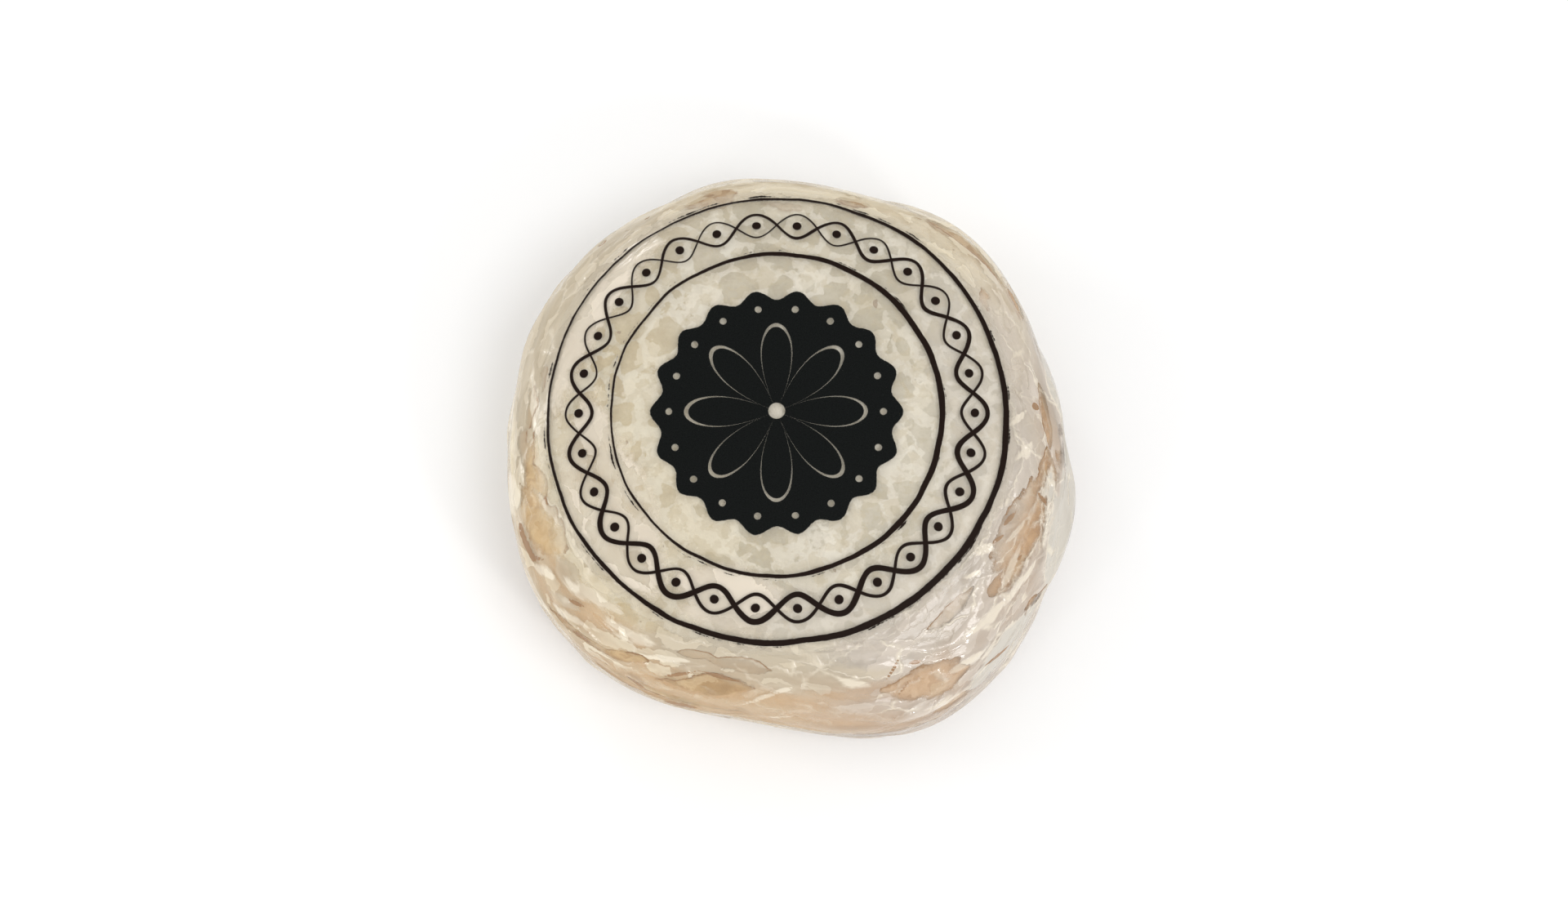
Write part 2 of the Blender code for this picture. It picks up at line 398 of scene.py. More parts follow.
# %% [markdown]
# The words of the recipes come next: how a place is moved or measured, the patterns it is turned
# into, and what is made of a pattern, such as a share, a colour or a slope. Each word adds its
# node to the finish of the wire that it is given.

# %% Moving and measuring a place


def stretch(place, factors):
    """The place with x, y and z each times its factor: below 1, a pattern is longer."""
    return place.finish.node("ShaderNodeVectorMath", {"operation": "MULTIPLY"}, (place, factors))


def bend(place, scale, reach):
    """The place plus a colour of coarse noise times reach, so that patterns wander."""
    node = place.finish.node
    sockets = {"Vector": place, "Scale": scale, "Detail": 3.0, "Roughness": 0.6}
    colour = node("ShaderNodeTexNoise", {}, sockets, "Color")
    away = node("ShaderNodeVectorMath", {"operation": "SCALE"}, {0: colour, "Scale": reach})
    return node("ShaderNodeVectorMath", {"operation": "ADD"}, (place, away))


def toward(place, direction):
    """How far a place lies towards a direction: their dot product."""
    settings = {"operation": "DOT_PRODUCT"}
    return place.finish.node("ShaderNodeVectorMath", settings, (place, direction), "Value")


# %% Patterns of a place


def noise(place, scale, detail=2.0, rough=0.5, warp=0.0):
    """Layered noise, mostly 0.3 to 0.7, with scale hills and hollows to a metre."""
    sockets = {
        "Vector": place,
        "Scale": scale,
        "Detail": detail,
        "Roughness": rough,
        "Distortion": warp,
    }
    return place.finish.node("ShaderNodeTexNoise", {}, sockets)


def border(place, scale):
    """Distance to the nearest border of cellular noise, in cells."""
    settings = {"feature": "DISTANCE_TO_EDGE"}
    return place.finish.node("ShaderNodeTexVoronoi", settings, {"Vector": place, "Scale": scale})


def shade(place, scale):
    """A random number of its own for each cell of cellular noise."""
    sockets = {"Vector": place, "Scale": scale}
    colour = place.finish.node("ShaderNodeTexVoronoi", {"feature": "F1"}, sockets, "Color")
    return place.finish.node("ShaderNodeSeparateColor", {}, (colour,))


# %% Shares, colours and slopes


def ramp(value, low, high):
    """0 below low and 1 above high, or the other way round where low is above high."""
    ends = (0.0, 1.0) if low < high else (1.0, 0.0)
    sockets = (value, min(low, high), max(low, high), *ends)
    settings = {"interpolation_type": "SMOOTHSTEP"}
    return value.finish.node("ShaderNodeMapRange", settings, sockets)


def either(*values):
    """The largest of several values."""
    most = values[0]
    for value in values[1:]:
        most = maths("MAXIMUM", most, value)
    return most


def shown(red, green, blue):
    """A colour as a screen shows it, from 0 to 255, in the linear values that shaders use."""
    parts = np.array([red, green, blue]) / 255
    linear = np.where(parts > 0.04045, ((parts + 0.055) / 1.055) ** 2.4, parts / 12.92)
    return (*linear.tolist(), 1.0)


def blend(share, first, second):
    """A colour between two, by share."""
    sockets = {0: share, 6: first, 7: second}
    return share.finish.node("ShaderNodeMix", {"data_type": "RGBA"}, sockets, 2)


def tinted(share, colour, glaze):
    """The colour multiplied by a glaze's, by share."""
    settings = {"data_type": "RGBA", "blend_type": "MULTIPLY"}
    return share.finish.node("ShaderNodeMix", settings, {0: share, 6: colour, 7: glaze}, 2)


def relief(height, distance):
    """A normal tilted by the slope of height, which is in units of distance metres."""
    sockets = {"Strength": 1.0, "Distance": distance, "Height": height}
    return height.finish.node("ShaderNodeBump", {}, sockets)


# %% [markdown]
# ## The folds of the wrap
#
# Cling film pulled round a cheese runs in long low folds round the side, with slack pockets
# where it stands off and pleats gathered under the base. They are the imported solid's own, drawn
# with the same seeds and the same order of draws, so the outlines agree to a hair. The soft
# rind takes on part of the folds, because it ripened inside the wrap.

# %% Long folds
FOLD_SEED = 11
FOLD_COUNT = 32
FOLD_TURN = 137.5  # degrees from each fold to the next, the golden angle, which never repeats
FOLD_LEVELS = (-15.0 * MM, 15.0 * MM)
FOLD_LENGTHS = (24.0 * MM, 62.0 * MM)
FOLD_SLOPE = 0.13
FOLD_BOW = 2.5
FOLD_WIDTHS = (1.9 * MM, 3.4 * MM)
FOLD_RISES = (0.4 * MM, 0.95 * MM)
STEEP_SIDE = 0.45  # a fold's narrow flank, as a share of the wide one


def fold_relief(azimuth, drop):
    """Long low ridges: a bell across, steeper on one side, times a smooth hill along."""
    draw = np.random.default_rng(FOLD_SEED)
    height = np.zeros_like(azimuth)
    for i in range(FOLD_COUNT):
        level = draw.uniform(*FOLD_LEVELS)
        half_length = draw.uniform(*FOLD_LENGTHS) / 2
        slope = draw.normal(0, FOLD_SLOPE)
        bow = draw.normal(0, FOLD_BOW)
        width = draw.uniform(*FOLD_WIDTHS)
        rise = draw.uniform(*FOLD_RISES)
        side = draw.choice((-1, 1))
        along = MEAN_RADIUS * turn_to(azimuth, i * FOLD_TURN)
        off = drop - level - slope * along - bow * along * along
        scale = np.where(off * side > 0, width, width * STEEP_SIDE)
        height += rise * bump(along / half_length) * np.exp(-np.square(off / scale))
    return height


# %% Pockets
FILM_POCKETS = (
    # azimuth, half width, way down from the widest circle, half height, rise
    (-11, 13, 1.0 * MM, 12.0 * MM, 1.3 * MM),
    (-38, 20, 7.0 * MM, 10.0 * MM, 1.2 * MM),
    (13, 12, -3.0 * MM, 10.0 * MM, 1.3 * MM),
)


def pocket_relief(azimuth, drop):
    """Broad hills, each a smooth hill round the wheel times one down its side."""
    height = np.zeros_like(azimuth)
    for at, half_width, below, half_height, rise in FILM_POCKETS:
        sideways = turn_to(azimuth, at) / math.radians(half_width)
        height += rise * bump(sideways) * bump((drop - below) / half_height)
    return height


# %% Pleats
PLEAT_SEED = 5
PLEAT_COUNT = 22
PLEAT_START = 14.0 * MM
PLEAT_FADE = 6.0 * MM
PLEAT_DEPTHS = (0.45 * MM, 0.9 * MM)
PLEAT_SHARES = (0.5, 0.95)
PLEAT_JITTER = 0.3
PLEAT_TWIST = 0.35


def pleat_relief(azimuth, drop):
    """Grooves that run from the lower shoulder in to the middle, turning a little."""
    draw = np.random.default_rng(PLEAT_SEED)
    start = np.clip((drop - PLEAT_START) / PLEAT_FADE, 0, 1)
    turned = azimuth + PLEAT_TWIST * (drop - PLEAT_START) / (LAST_WAY - WIDEST_WAY)
    height = np.zeros_like(azimuth)
    for i in range(PLEAT_COUNT):
        centre = 360 * (i + draw.uniform(-PLEAT_JITTER, PLEAT_JITTER)) / PLEAT_COUNT
        half_width = math.pi / PLEAT_COUNT * draw.uniform(*PLEAT_SHARES)
        depth = draw.uniform(*PLEAT_DEPTHS)
        height -= depth * bump(turn_to(turned, centre) / half_width)
    return height * start


# %% Clear of the label
LABEL_CENTRE = (-2.4 * MM, 4.7 * MM)
LABEL_RADIUS = 44.6 * MM
FOLD_CLEARANCE = 5.0 * MM
FAR = 1.0


def from_label(points):
    """Distance from the label's middle, seen from above, and far on the lower half."""
    across = np.hypot(points[..., 0] - LABEL_CENTRE[0], points[..., 1] - LABEL_CENTRE[1])
    return np.where(points[..., 2] > WIDEST_LEVEL, across, FAR)


def clear_of_label(points):
    """0 under the label, and 1 from 5 mm outside it."""
    return np.clip((from_label(points) - LABEL_RADIUS) / FOLD_CLEARANCE, 0, 1)


def on_side(drop):
    """A smooth hill: 1 at the widest circle, falling to 0 at the middles of top and base."""
    return bump(drop / (LAST_WAY / 2))


def folds_on(azimuth, drop, points):
    """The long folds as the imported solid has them: only on the side and clear of the label."""
    return fold_relief(azimuth, drop) * on_side(drop) * clear_of_label(points)


print(FOLD_COUNT, "folds,", len(FILM_POCKETS), "pockets and", PLEAT_COUNT, "pleats")

# %% [markdown]
# ## Where the film clings
#
# Film and rind have one thing in common: where the film is pressed against the moist rind it
# turns clear, and the tan paste shows as if through a window. Both pieces need to know where
# these windows are, so their field is worked out first. The larger ones are placed where the
# photograph shows them, the small ones come by chance, and noise tears their shores. Each
# piece sharpens the field by itself, so it is kept soft here.
#
# A patch is a lens on a slanting line, 1 at its middle and 0 at its shore. A row of a table of
# patches gives an azimuth and a half width in degrees, a level above the widest circle and a
# half height in millimetres, and the slope of the line.

# %% Patches on the wrap


def wrapped_place(azimuth, drop):
    """A point on the wrap: the mean circle's x and y, and the way down. It has no seam."""
    around = MEAN_RADIUS * np.stack([np.cos(azimuth), np.sin(azimuth)], axis=-1)
    return np.concatenate([around, drop[..., None]], axis=-1)


def patch_field(patches, azimuth, drop):
    """The highest of several lens-shaped hills: 1 - a squared - |c|, where a is the distance
    along and c that across, each in half sizes."""
    field = np.full_like(azimuth, -1.0)
    for at, half_width, level, half_height, slope in patches:
        along = MEAN_RADIUS * turn_to(azimuth, at)
        across = (drop + level * MM - slope * along) / (half_height * MM)
        along = along / (MEAN_RADIUS * math.radians(half_width))
        field = np.maximum(field, 1 - np.square(along) - np.abs(across))
    return field


# %% Windows where the film clings
WINDOWS = (
    (-107, 11, 12.2, 2.8, -0.12),
    (-60, 10, 13.4, 3.8, 0.2),
    (-160, 10.5, 16, 4.6, -0.35),
    (-170, 5, 16.7, 1.8, -0.4),
    (-22, 14, 17.4, 4.6, 0.1),
    (-9, 7, 14.6, 2.2, 0),
    (5, 8, 13.4, 1.2, 0.05),
    (48, 13, 12, 1.8, 0),
    (-48, 8, 21.2, 1.6, 0.1),
    (-33, 7, 16, 2.2, 0.2),
    (-126, 5, 12.6, 1.4, -0.3),
    (-136, 10, 10.7, 0.9, -0.16),
    (-101, 8.5, 17.6, 1.5, 0),
    (-112, 5, 18, 0.9, -0.1),
)
LONG_CELLS = (0.35, 0.35, 1)  # makes noise on the wrap three times as long as it is high
TEAR_DEPTH = 0.8
TEAR_SIZE = 2.4 * MM
TEAR_SEED = 81
CHANCE_LIMIT = 0.68  # raise it for fewer chance windows
CHANCE_STEEPNESS = 6
CHANCE_SIZE = 5.0 * MM
CHANCE_SEED = 91
UNDER_LABEL = (20 * MM, 26 * MM)  # windows fade out over these ways up from the widest circle
SHORE_STEP = 0.4 * MM
SHORE_STEEPNESS = 6


def window_field(azimuth, drop):
    """Above 0 inside a window: a patch with its shore torn by noise. Where stretched noise
    runs high there are further windows by chance, but none under the label."""
    squashed = wrapped_place(azimuth, drop) * LONG_CELLS
    torn = TEAR_DEPTH * (layered_noise(squashed, TEAR_SIZE, TEAR_SEED) - 0.5)
    high = layered_noise(squashed, CHANCE_SIZE, CHANCE_SEED) - CHANCE_LIMIT
    field = np.maximum(patch_field(WINDOWS, azimuth, drop) + torn, CHANCE_STEEPNESS * high)
    return np.clip(field - 2 * soft_step(-drop, *UNDER_LABEL), -1, 1)


def upper_shore(azimuth, drop):
    """1 where the field climbs steeply downwards, which is along a window's upper shore."""
    climb = window_field(azimuth, drop) - window_field(azimuth, drop - SHORE_STEP)
    return np.clip(SHORE_STEEPNESS * climb, 0, 1)


# %% [markdown]
# ## The rind
#
# White mould spreads over the cheese in a net of thick bloom, and between its veins lie islands
# where the bloom is thin and the tan paste shows. The islands are 3 to 9 mm across with crisp,
# wandering edges. Each cell of the cellular noise is an island, its border a vein, and warping
# the points first makes the borders wander. Some cells are left out, so that the veins open into
# fields. The relief and the colour both read this one pattern, so each island is also a dip.

# %% Islands of thin bloom
ISLAND_SIZE = 6.2 * MM
ISLAND_SEED = 21
FRAGMENT_SIZE = 3.3 * MM
FRAGMENT_SEED = 22
FRAGMENT_VEIN = 0.35  # half the width of the veins between fragments, mm
VEIN_SIZE = 9 * MM  # veins swell and thin over about this length
VEIN_SEED = 31
WANDER = 5.5 * MM  # how far the borders of the islands stray
WANDER_SIZE = 6 * MM
WANDER_SEEDS = (11, 12, 13)
NET_AZIMUTH = math.radians(40)  # islands are commonest towards this side
NET_REACH = 32 * MM


def island_field(points):
    """Millimetres inside the nearest island's shore, or outside it where negative: half the
    lead of the nearest seed over the second, less half the width of the vein there."""
    warp = [layered_noise(points, WANDER_SIZE, seed) - 0.5 for seed in WANDER_SEEDS]
    warped = points + WANDER * np.stack(warp, axis=-1)
    ahead = points[..., 0] * math.cos(NET_AZIMUTH) + points[..., 1] * math.sin(NET_AZIMUTH)
    common = 0.72 + 0.36 * np.clip(ahead / NET_REACH, -0.55, 1)
    edge, own = cell_noise(warped, ISLAND_SIZE, ISLAND_SEED)
    vein = (0.1 + layered_noise(points, VEIN_SIZE, VEIN_SEED, 2)) * MM
    big = np.minimum((edge - vein) / MM, 4 * (common - own))
    edge, own = cell_noise(warped, FRAGMENT_SIZE, FRAGMENT_SEED)
    small = np.minimum(edge / MM - FRAGMENT_VEIN, 4 * (0.26 + 0.22 * common - own))
    return np.clip(np.maximum(big, small), -1, 1)


# %% [markdown]
# The cheese is the wheel drawn in by the thickness of the film and a little air. Its top is
# slightly uneven, its side takes on part of the long folds, and each island is a shallow dip.

# %% Form of the cheese
FILM_TO_RIND = 0.35 * MM
FOLLOWED = 0.6  # the share of the film's long folds that the soft rind takes on
ISLAND_DEPTH = 0.2 * MM
PLEAT_ROOM = 1.0 * MM  # the cheese keeps clear of the pleats under it
SWELL = 0.25 * MM
SWELL_SIZE = 16 * MM
SWELL_SEED = 51
RIND_COLUMNS = 540
RIND_RINGS = 174
RIND_STEP = 0.6 * MM
RIND_UNDERSIDE = (WIDEST_WAY + 16 * MM, WIDEST_WAY + 24 * MM)  # where the rings spread out


def rind_spacing(way):
    """Rings 0.6 mm apart on the top and the side, and four times that underneath."""
    return RIND_STEP * (1 + 3 * soft_step(way, *RIND_UNDERSIDE))


azimuth, angle, drop = wheel_grid(RIND_COLUMNS, ring_ways(RIND_RINGS, rind_spacing))
smooth = wheel_point(azimuth, angle)
shore = island_field(smooth)
pleated = soft_step(drop, PLEAT_START - PLEAT_FADE, PLEAT_START + PLEAT_FADE)
inset = FILM_TO_RIND + PLEAT_ROOM * pleated
swell = SWELL * (layered_noise(smooth, SWELL_SIZE, SWELL_SEED) - 0.5)
swell += FOLLOWED * folds_on(azimuth, drop, smooth)
lift = swell - inset - ISLAND_DEPTH * soft_step(shore, -0.3, 0.3)
rind_points = smooth + lift[..., None] * wheel_normal(azimuth, angle) + MIDDLE
cheese = shut_skin("bloomy_cheese", rind_points)
print("islands of thin bloom cover", round((shore > 0).mean() * 100), "% of the rind's points")

# %% Fields of the cheese
PEACH_AZIMUTH = math.radians(-80)  # the side is barest towards this azimuth
SIDE_START = (-23 * MM, -11 * MM)  # the side's colour sets in over these ways down
front = soft_step(np.cos(azimuth - PEACH_AZIMUTH), -0.5, 0.7)
rubbed = window_field(azimuth, drop)
add_field(cheese, "shore", shore)
add_field(cheese, "side", soft_step(drop, *SIDE_START) * (0.1 + 0.9 * front))
add_field(cheese, "rubbed", rubbed)
add_field(cheese, "upper_edge", upper_shore(azimuth, drop))
add_field(cheese, "drop", drop / MM)
add_field(cheese, "wrapped", wrapped_place(azimuth, drop))
print("bare windows cover", round((rubbed > 0).mean() * 100, 1), "% of the rind's points")

# %% [markdown]
# ## The rind's colour
#
# The stored pattern is sharpened by a threshold with a little noise added to it, which gives the
# islands crisp, ragged edges at any distance. Veins are cream and islands a greyish tan, a
# little yellower on the left. A finer noise mottles both. Cream and tan flecks, each a cell of
# cellular noise that was picked by chance, break up the larger fields.

# %% Bloom and islands
rind = Finish("rind", Roughness=0.62, IOR=1.45, Specular_IOR_Level=0.2)
place = rind.place()
round_way = rind.field("wrapped", "Vector")
depth = rind.field("drop")  # millimetres down from the widest circle
ragged = noise(place, 700, 4, 0.65) - 0.5
island = ramp(rind.field("shore") + 1.1 * ragged, -0.07, 0.07)
mottle = noise(place, 300, 4, 0.65, 0.3)
broad = noise(place, 48, 3, 0.55)
tone = ramp(mottle, 0.3, 0.7)
thick_bloom = blend(tone, shown(232, 227, 214), shown(220, 213, 199))
worn_bloom = blend(tone, shown(220, 213, 197), shown(206, 198, 180))
bloom_colour = blend(ramp(broad, 0.42, 0.66), thick_bloom, worn_bloom)
yellower = ramp(toward(place, (-1.0, 0.0, 0.0)), 0.005, 0.035)
island_light = blend(yellower, shown(197, 189, 170), shown(207, 192, 160))
island_dark = blend(yellower, shown(178, 169, 148), shown(190, 172, 138))
island_colour = blend(tone, island_light, island_dark)
strength = 0.6 + 0.4 * ramp(broad, 0.35, 0.6)
top_colour = blend(island * strength, bloom_colour, island_colour)
rind.report()

# %% Flecks on the top
CREAM_FLECK = shown(238, 231, 215)
scattered = bend(place, 240, 0.006)


def flecked(colour, scale, low, high, share, fleck):
    """The colour with a fleck's colour, by share, in the cells whose own random number is
    above the limit, or below it where low is above high."""
    chosen = ramp(shade(scattered, scale), low, high)
    return blend(share * chosen, colour, fleck)


top_colour = flecked(top_colour, 260, 0.8, 0.82, 0.5, CREAM_FLECK)
top_colour = flecked(top_colour, 430, 0.24, 0.22, 0.4, shown(198, 184, 154))
top_colour = flecked(top_colour, 750, 0.24, 0.22, 0.3, shown(192, 178, 148))
rind.report()

# %% [markdown]
# Down the side the pattern is another. The wrap has drawn the bloom out into strips of cream
# and tan that follow it round, and low on the front the bloom was rubbed off in turning, so the
# rind goes to peach. At the lower right, under the label's band, lies a thin pale veil of bloom.

# %% Strips, veil and peach of the side
strip = stretch(bend(round_way, 110, 0.010), (0.5, 0.5, 1.0))
side_tone = ramp(0.6 * shade(strip, 190) + 0.4 * shade(strip, 430), 0.15, 0.85)
side_colour = blend(side_tone, shown(230, 218, 194), shown(198, 176, 140))
fleck = ramp(shade(strip, 330), 0.84, 0.86) * ramp(depth, -1.0, -9.0)
side_colour = blend(0.5 * fleck, side_colour, shown(238, 230, 212))
below_label = ramp(depth, -20.5, -13.5)
top_colour = blend(0.8 * below_label, top_colour, side_colour)
veil = ramp(toward(round_way, (0.77, -0.64, 0.0)), -0.01, 0.02)
veil = veil * ramp(depth, -36.0, -31.0)
top_colour = blend(0.25 * veil * (1 - below_label), top_colour, shown(226, 220, 222))
peach = blend(0.3 * side_tone + 0.7 * tone, shown(208, 177, 141), shown(195, 161, 123))
low = ramp(rind.field("side") + 0.7 * (broad - 0.5), 0.2, 0.7)
rind_colour = blend(low, top_colour, peach)
rind.report()

# %% [markdown]
# In the windows the paste is bare. It isn't the same tan all round: ochre on the left, pink tan
# at the lower right, brownish on the right. A mask for each side comes from how far a point on
# the wrap lies towards it. Noise tears the shores, and dividing the field by a small number
# along a window's upper shore makes it crisp there, while the lower one stays soft.

# %% Tan paste in the windows
leftward = ramp(toward(round_way, (-0.94, -0.34, 0.0)), 0.01, 0.05)
low_right = ramp(toward(round_way, (0.469, -0.883, 0.0)), 0.045, 0.05)
right = ramp(toward(round_way, (1.0, 0.0, 0.0)), 0.03, 0.045)
SIDE_TANS = (
    (leftward, shown(210, 181, 139), shown(180, 149, 107)),
    (low_right, shown(214, 185, 152), shown(196, 164, 130)),
    (right, shown(205, 166, 122), shown(172, 134, 93)),
)
light_tan = shown(174, 140, 100)
dark_tan = shown(147, 113, 77)
for share, light, dark in SIDE_TANS:
    light_tan = blend(share, light_tan, light)
    dark_tan = blend(share, dark_tan, dark)
blotch = ramp(noise(place, 260, 4, 0.6, 0.4), 0.32, 0.68)
tan = blend(blotch, light_tan, dark_tan)
tan = flecked(tan, 560, 0.74, 0.76, 0.4, shown(162, 124, 87))
tan = flecked(tan, 380, 0.26, 0.24, 0.4, shown(219, 196, 160))
torn = noise(stretch(round_way, (0.6, 0.6, 1.0)), 520, 4, 0.6) - 0.5
inside = rind.field("rubbed") + torn
bare = ramp(inside / (0.9 - 0.8 * rind.field("upper_edge")), -0.08, 0.3)
rind_colour = blend(0.95 * bare * (0.3 + 0.7 * below_label), rind_colour, tan)
rind.report()

# %% [markdown]
# Last come a few brown specks from the cloth the cheese drained on, a warmer and slightly darker
# tone over the left side, and a fine grain for the relief, because mould is a low felt.

# %% Specks, left tint and grain
SPECK = shown(120, 84, 58)
LEFT_TINT = (0.98, 0.955, 0.88, 1)
FELT_HEIGHT = 0.12 * MM
speck = ramp(noise(place, 420, 2, 0.5), 0.735, 0.77)
rind_colour = blend(0.6 * speck, rind_colour, SPECK)
# the left side is made warmer and a little darker
rind_colour = tinted(leftward, rind_colour, LEFT_TINT)
grain = noise(place, 1500, 3, 0.6) + 0.6 * mottle
rind.feed(Base_Color=rind_colour, Normal=relief(grain, FELT_HEIGHT))
rind.report()
cheese.data.materials.append(rind.material)
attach(cheese, "root")
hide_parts("wrapped_cheese")

# %% [markdown]
# ## The film
#
# The long folds and the pockets are known from above. Between them the film has small sharp
# creases, most of them where it was gathered. Each is a ridge along a slightly bowed line, with
# a section like a tent, because film creases sharply where cloth would bend. Between the ridges
# it crumples into flat facets. Under the label it is smooth, stuck down flat.

# %% Creases of the film
CREASE_SEED = 7
CREASE_COUNT = 160
CREASE_LEVELS = (-24.0 * MM, 22.0 * MM)
CREASE_LENGTHS = (8.0 * MM, 40.0 * MM)
CREASE_SLOPE = 0.25
CREASE_BOW = 6.0
CREASE_WIDTHS = (0.5 * MM, 1.1 * MM)
CREASE_RISES = (0.08 * MM, 0.34 * MM)
CROWDED_AZIMUTH = -36  # every second crease gathers round this azimuth
CROWD_SPREAD = 28


def crease_relief(azimuth, drop):
    """Short sharp ridges: exp(-distance / width) across, times a smooth hill along."""
    draw = np.random.default_rng(CREASE_SEED)
    height = np.zeros_like(azimuth)
    for i in range(CREASE_COUNT):
        crowded = draw.normal(CROWDED_AZIMUTH, CROWD_SPREAD)
        centre = crowded if i % 2 else i * FOLD_TURN
        level = draw.uniform(*CREASE_LEVELS)
        half_length = draw.uniform(*CREASE_LENGTHS) / 2
        slope = draw.normal(0, CREASE_SLOPE)
        bow = draw.normal(0, CREASE_BOW)
        width = draw.uniform(*CREASE_WIDTHS)
        rise = draw.uniform(*CREASE_RISES)
        along = MEAN_RADIUS * turn_to(azimuth, centre)
        near = np.abs(along) < half_length
        along = along[near]
        off = drop[near] - level - slope * along - bow * along * along
        height[near] += rise * bump(along / half_length) * np.exp(-np.abs(off) / width)
    return height


# %% Crumple of the film
CRUMPLE_HEIGHT = 0.2 * MM
CRUMPLE_SIZE = 5 * MM
CRUMPLE_SEED = 61
CRUMPLE_FADE = (34 * MM, 22 * MM)  # it is gone from the lower of these ways down on


def crumple(wrapped):
    """Flat facets that meet in ridges: 1 - |2 noise - 1|, stretched round the wheel."""
    return 1 - np.abs(2 * layered_noise(wrapped * LONG_CELLS, CRUMPLE_SIZE, CRUMPLE_SEED, 2) - 1)


# %% [markdown]
# The film's rings stand closest on the shoulder and the side, where it wrinkles. The folds, the
# pockets, the creases and the crumple are added up as one height over the smooth wheel, and each
# window is a dip where the film was pressed on. Below, the film is flat where it rests.

# %% Form of the film
FILM_COLUMNS = 556
FILM_RINGS = 176
FILM_STEP = 0.42 * MM
TOP_EDGE = (40 * MM, 34 * MM)  # ways from the top's middle over which the rings draw together
FILM_UNDERSIDE = (WIDEST_WAY + 24 * MM, WIDEST_WAY + 34 * MM)
WINDOW_DEPTH = 0.18 * MM


def film_spacing(way):
    """Rings 0.42 mm apart on the shoulder and the side, and four times that elsewhere."""
    above = soft_step(way, *TOP_EDGE)
    below = soft_step(way, *FILM_UNDERSIDE)
    return FILM_STEP * (1 + 3 * (above + below))


azimuth, angle, drop = wheel_grid(FILM_COLUMNS, ring_ways(FILM_RINGS, film_spacing))
smooth = wheel_point(azimuth, angle)
wrapped = wrapped_place(azimuth, drop)
free = clear_of_label(smooth)
window = window_field(azimuth, drop)
creases = crease_relief(azimuth, drop)
folds = folds_on(azimuth, drop, smooth)
slack = folds + pocket_relief(azimuth, drop) * on_side(drop) * free
fine = creases + CRUMPLE_HEIGHT * crumple(wrapped) * soft_step(drop, *CRUMPLE_FADE)
fine = (fine - WINDOW_DEPTH * soft_step(window, -0.1, 0.1)) * free
film_lift = slack + fine + pleat_relief(azimuth, drop)
film_points = smooth + film_lift[..., None] * wheel_normal(azimuth, angle)
pressed = (angle < 0) & (profile(angle)[1] <= 0)
film_points[..., 2] = np.where(pressed, 0, np.maximum(film_points[..., 2], 0))
film = shut_skin("cling_film", film_points + MIDDLE)
print("film stands off the smooth wheel by up to", round(film_lift.max() / MM, 2), "mm")

# %% [markdown]
# Film that is pulled, folded and stuck leaves marks, and the main ones sit where the photograph
# shows them. Shadow lines are painted shade: thin brown lines under folds, along window shores
# and low by the base. Strokes are thin cream folds, and those at the lower right are painted
# highlights along folds. Sheets are broad milky parts where two layers lie together, and outside
# the label their grey tint is also painted shade, on the upper left rim and on the front below the
# label. Lobes are loose flaps on the slack side. On the snug part at the front the film is pulled
# so tight that it is nearly clear. All are patches, as the windows are.

# %% Marks in the film
# painted shade: thin dark lines under folds, along window shores and low by the base
SHADOW_LINES = (
    (-158, 6, 11.6, 1.1, -0.1),
    (-154, 2, 13, 0.7, -1),
    (-141, 2.6, 15.2, 0.5, -0.4),
    (-136, 3.2, 10.6, 0.8, -0.2),
    (-122, 3, 7, 0.9, 0.4),
    (-113, 4.5, 4.9, 0.9, 0),
    (-114, 4.5, 13.4, 0.6, -0.42),
    (-105, 6.5, 14.7, 0.6, 0.08),
    (-66, 3, 18.4, 0.5, -0.7),
    (-65, 3, 14.8, 0.5, -0.6),
    (-61, 1.8, 18.1, 0.5, 0.2),
    (-45, 6, 6.3, 0.7, 0.44),
    (-14, 1.4, 14.9, 1, -1),
    (7, 1.3, 15.4, 1.1, 0),
    (-21, 3, 20.2, 0.6, 0.3),
    (-27, 2.4, 20.8, 0.5, 0.4),
    (-28, 1.2, 15.7, 0.5, 0.1),
)
# thin cream folds; those at the lower right, from -51 to 4 degrees, are painted highlights along
# folds
STROKES = (
    (-161, 8, 19.2, 1.3, -0.41),
    (-151, 6.5, 20.8, 1.2, -0.1),
    (-151, 4, 13, 1.3, -0.6),
    (-143, 5.5, 16.8, 1.2, -0.1),
    (-140, 7.5, 12.2, 1.2, -0.33),
    (-138, 8.5, 18.8, 1.3, -0.15),
    (-168, 8, 10.2, 2.4, -0.2),
    (176, 9, 8.7, 2.2, -0.16),
    (172, 8, 15.5, 1.4, -0.2),
    (-127, 7, 17.3, 1.6, -0.05),
    (-95, 9, 12.2, 0.5, -0.5),
    (-94, 7, 7, 0.4, -0.4),
    (-118, 7, 15.6, 0.7, -0.2),
    (-43, 7.5, 15.2, 1.2, 0.2),
    (-51, 5.5, 12.4, 1.2, 0.23),
    (-33, 7, 13.2, 1.1, 0.15),
    (-76, 6, 17.5, 1.2, 0.3),
    (-18, 6.1, 16.5, 0.8, 0.07),
    (-30, 7.1, 16.3, 0.8, -0.08),
    (-23, 5.4, 18.2, 0.6, 0.31),
    (-31, 2.8, 22, 1.2, 0.37),
    (-38, 2.4, 21.9, 1, 0.38),
    (-5, 3.1, 19.9, 1.4, 0.66),
    (4, 3, 19.5, 1, 1),
)
